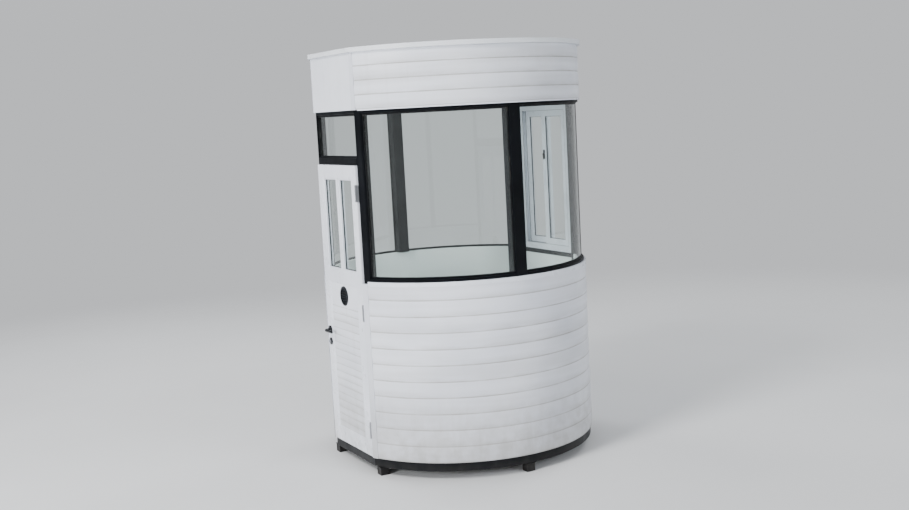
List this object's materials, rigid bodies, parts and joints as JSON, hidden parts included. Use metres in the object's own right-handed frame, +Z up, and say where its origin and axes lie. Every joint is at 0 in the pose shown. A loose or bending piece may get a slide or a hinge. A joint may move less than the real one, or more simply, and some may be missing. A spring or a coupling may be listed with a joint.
{
  "type": "security guard booth",
  "caption": "Round guard booth on feet, with ribbed white cladding, bent glass, a hinged door and a service window.",
  "frame": {"origin": "middle of the plan, at the level of the feet's undersides", "axes": "+Z up, -Y out through the door, +Y out through the service window, +X to the right as seen from in front of the door"},
  "size_m": [1.772, 1.6936, 2.643],
  "materials": {
    "black_steel": "satin black paint on steel, dusty near the ground",
    "floor_board": "worn grey floor board",
    "wall_panel": "pale greenish white inner board",
    "cladding_white": "white ribbed planks, slightly wavy",
    "trim_grey": "plain grey white edge trim",
    "glass": "clear glass with a green edge",
    "frame_white": "white frame profiles",
    "ceiling_board": "plain white board",
    "fascia_white": "white boards",
    "roof_board": "plain board",
    "roof_sheet": "weathered pale roof sheet",
    "roof_edge": "white coated edge channel",
    "hinge_steel": "dull steel",
    "vent_black": "black grille",
    "handle_black": "black lever"
  },
  "bodies": {
    "cabin": {"feet": "black_steel", "base_rail_left": "black_steel", "base_rail_right": "black_steel", "base_crossbeams": "black_steel", "door_post_left": "black_steel", "door_post_right": "black_steel", "side_post_left": "black_steel", "side_post_right": "black_steel", "window_post_left": "black_steel", "window_post_right": "black_steel", "sill_rails_left": "black_steel", "sill_rails_right": "black_steel", "window_sill": "black_steel", "head_rails_left": "black_steel", "head_rails_right": "black_steel", "head_rails_flat": "black_steel", "door_stop": "black_steel", "door_transom": "black_steel", "floor_deck": "floor_board", "wall_front_left": "wall_panel", "wall_front_right": "wall_panel", "wall_rear_left": "wall_panel", "wall_rear_right": "wall_panel", "wall_under_window": "wall_panel", "cladding_left": "cladding_white", "cladding_right": "cladding_white", "cladding_under_window": "cladding_white", "corner_trims": "trim_grey", "glass_front_left": "glass", "glass_front_right": "glass", "glass_rear_left": "glass", "glass_rear_right": "glass", "transom_glass": "glass", "window_glass": "glass", "window_frame": "frame_white", "window_sash_fixed": "frame_white", "window_sash_sliding": "frame_white", "ceiling": "ceiling_board", "fascia_front": "fascia_white", "fascia_rear": "fascia_white", "fascia_left": "fascia_white", "fascia_right": "fascia_white", "roof_deck": "roof_board", "roof_panel": "roof_sheet", "roof_trim": "roof_edge", "post_hinge_halves": "hinge_steel"},
    "door": {"door_frame": "frame_white", "door_panel": "frame_white", "door_glass": "glass", "door_vent": "vent_black", "door_handles": "handle_black", "door_hinge_halves": "hinge_steel"}
  },
  "joints": [
    {"name": "door_hinge", "type": "hinge", "parent": "cabin", "child": "door", "pos_m": [0.3025, -0.82059, 0.115], "axis": [0, 0, 1], "range_deg": [0, 100]}
  ]
}
